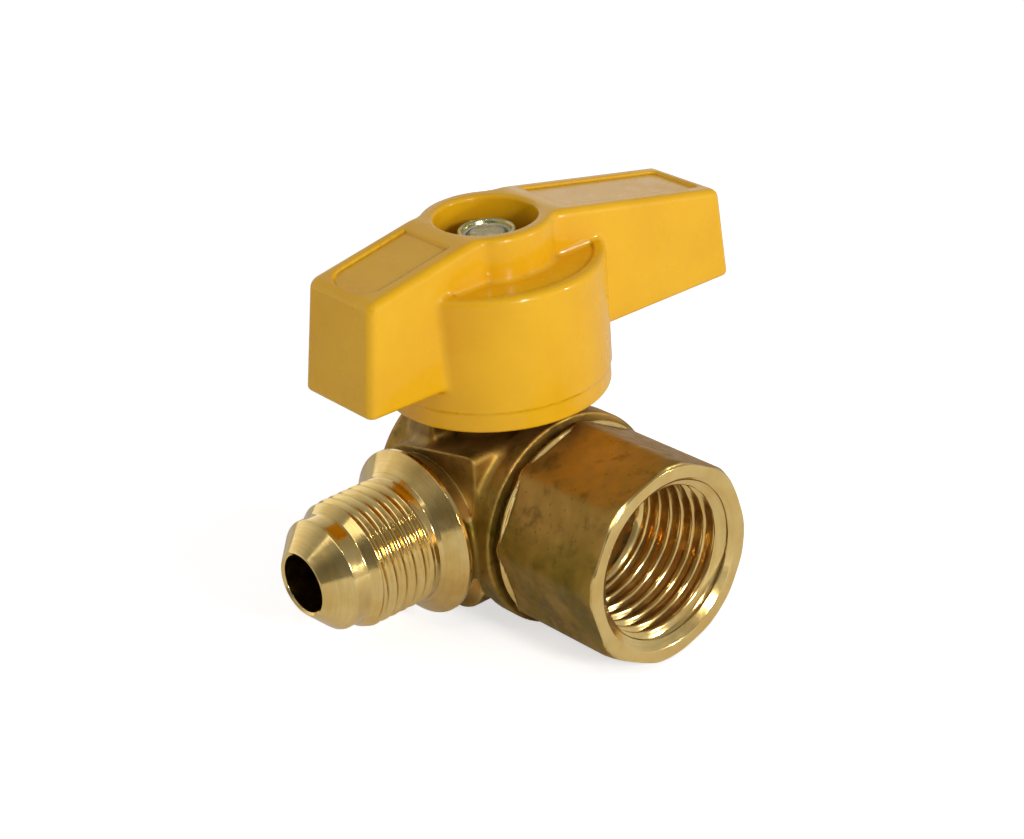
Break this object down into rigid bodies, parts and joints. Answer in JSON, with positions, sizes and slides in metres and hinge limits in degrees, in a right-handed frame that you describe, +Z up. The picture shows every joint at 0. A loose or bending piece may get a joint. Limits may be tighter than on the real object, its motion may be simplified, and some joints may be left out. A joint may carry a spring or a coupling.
{
  "type": "ball valve",
  "caption": "Angle-pattern brass ball valve with a female pipe-thread inlet, a male flare outlet and a T-handle that turns a quarter turn.",
  "frame": {"origin": "on the inlet's axis at its first full thread, 1.1 mm inside the mouth", "axes": "+X points out of the female inlet, -Y out of the flare outlet, +Z up the stem towards the handle"},
  "size_m": [0.0424, 0.0645, 0.0493],
  "materials": {
    "forged_brass": "as forged, dull, with bright turned faces",
    "connector_brass": "as forged flats with a mottled skin, bright turned mouth",
    "turned_brass": "turned, satin",
    "chromed_ball": "polished",
    "ptfe": "waxy white",
    "o_ring_rubber": "smooth black",
    "yellow_enamel": "glossy enamel over a die casting",
    "zinc_plated_steel": "bright zinc",
    "yellow_zinc": "yellow-green passivated zinc",
    "nylon": "smooth"
  },
  "bodies": {
    "valve_body": {"body": "forged_brass", "end_connector": "connector_brass", "connector_seal": "ptfe", "seat_inlet": "ptfe", "seat_back": "ptfe", "packing_lower": "ptfe", "packing_upper": "ptfe", "gland_nut": "turned_brass"},
    "handle_and_stem": {"handle": "yellow_enamel", "stem": "turned_brass", "thrust_washer": "ptfe", "stem_o_ring": "o_ring_rubber", "lock_washer": "zinc_plated_steel", "lock_nut": "yellow_zinc", "nut_insert": "nylon"},
    "ball": {"ball": "chromed_ball"}
  },
  "joints": [
    {"name": "handle_turn", "type": "hinge", "parent": "valve_body", "child": "handle_and_stem", "pos_m": [-0.0275, 0, 0.02], "axis": [0, 0, 1], "range_deg": [-90, 0]},
    {"name": "ball_turn", "type": "hinge", "parent": "valve_body", "child": "ball", "pos_m": [-0.0275, 0, 0], "axis": [0, 0, 1], "range_deg": [-90, 0]}
  ],
  "couplings": [
    {"joint": "ball_turn", "follows": "handle_turn", "ratio": 1}
  ]
}
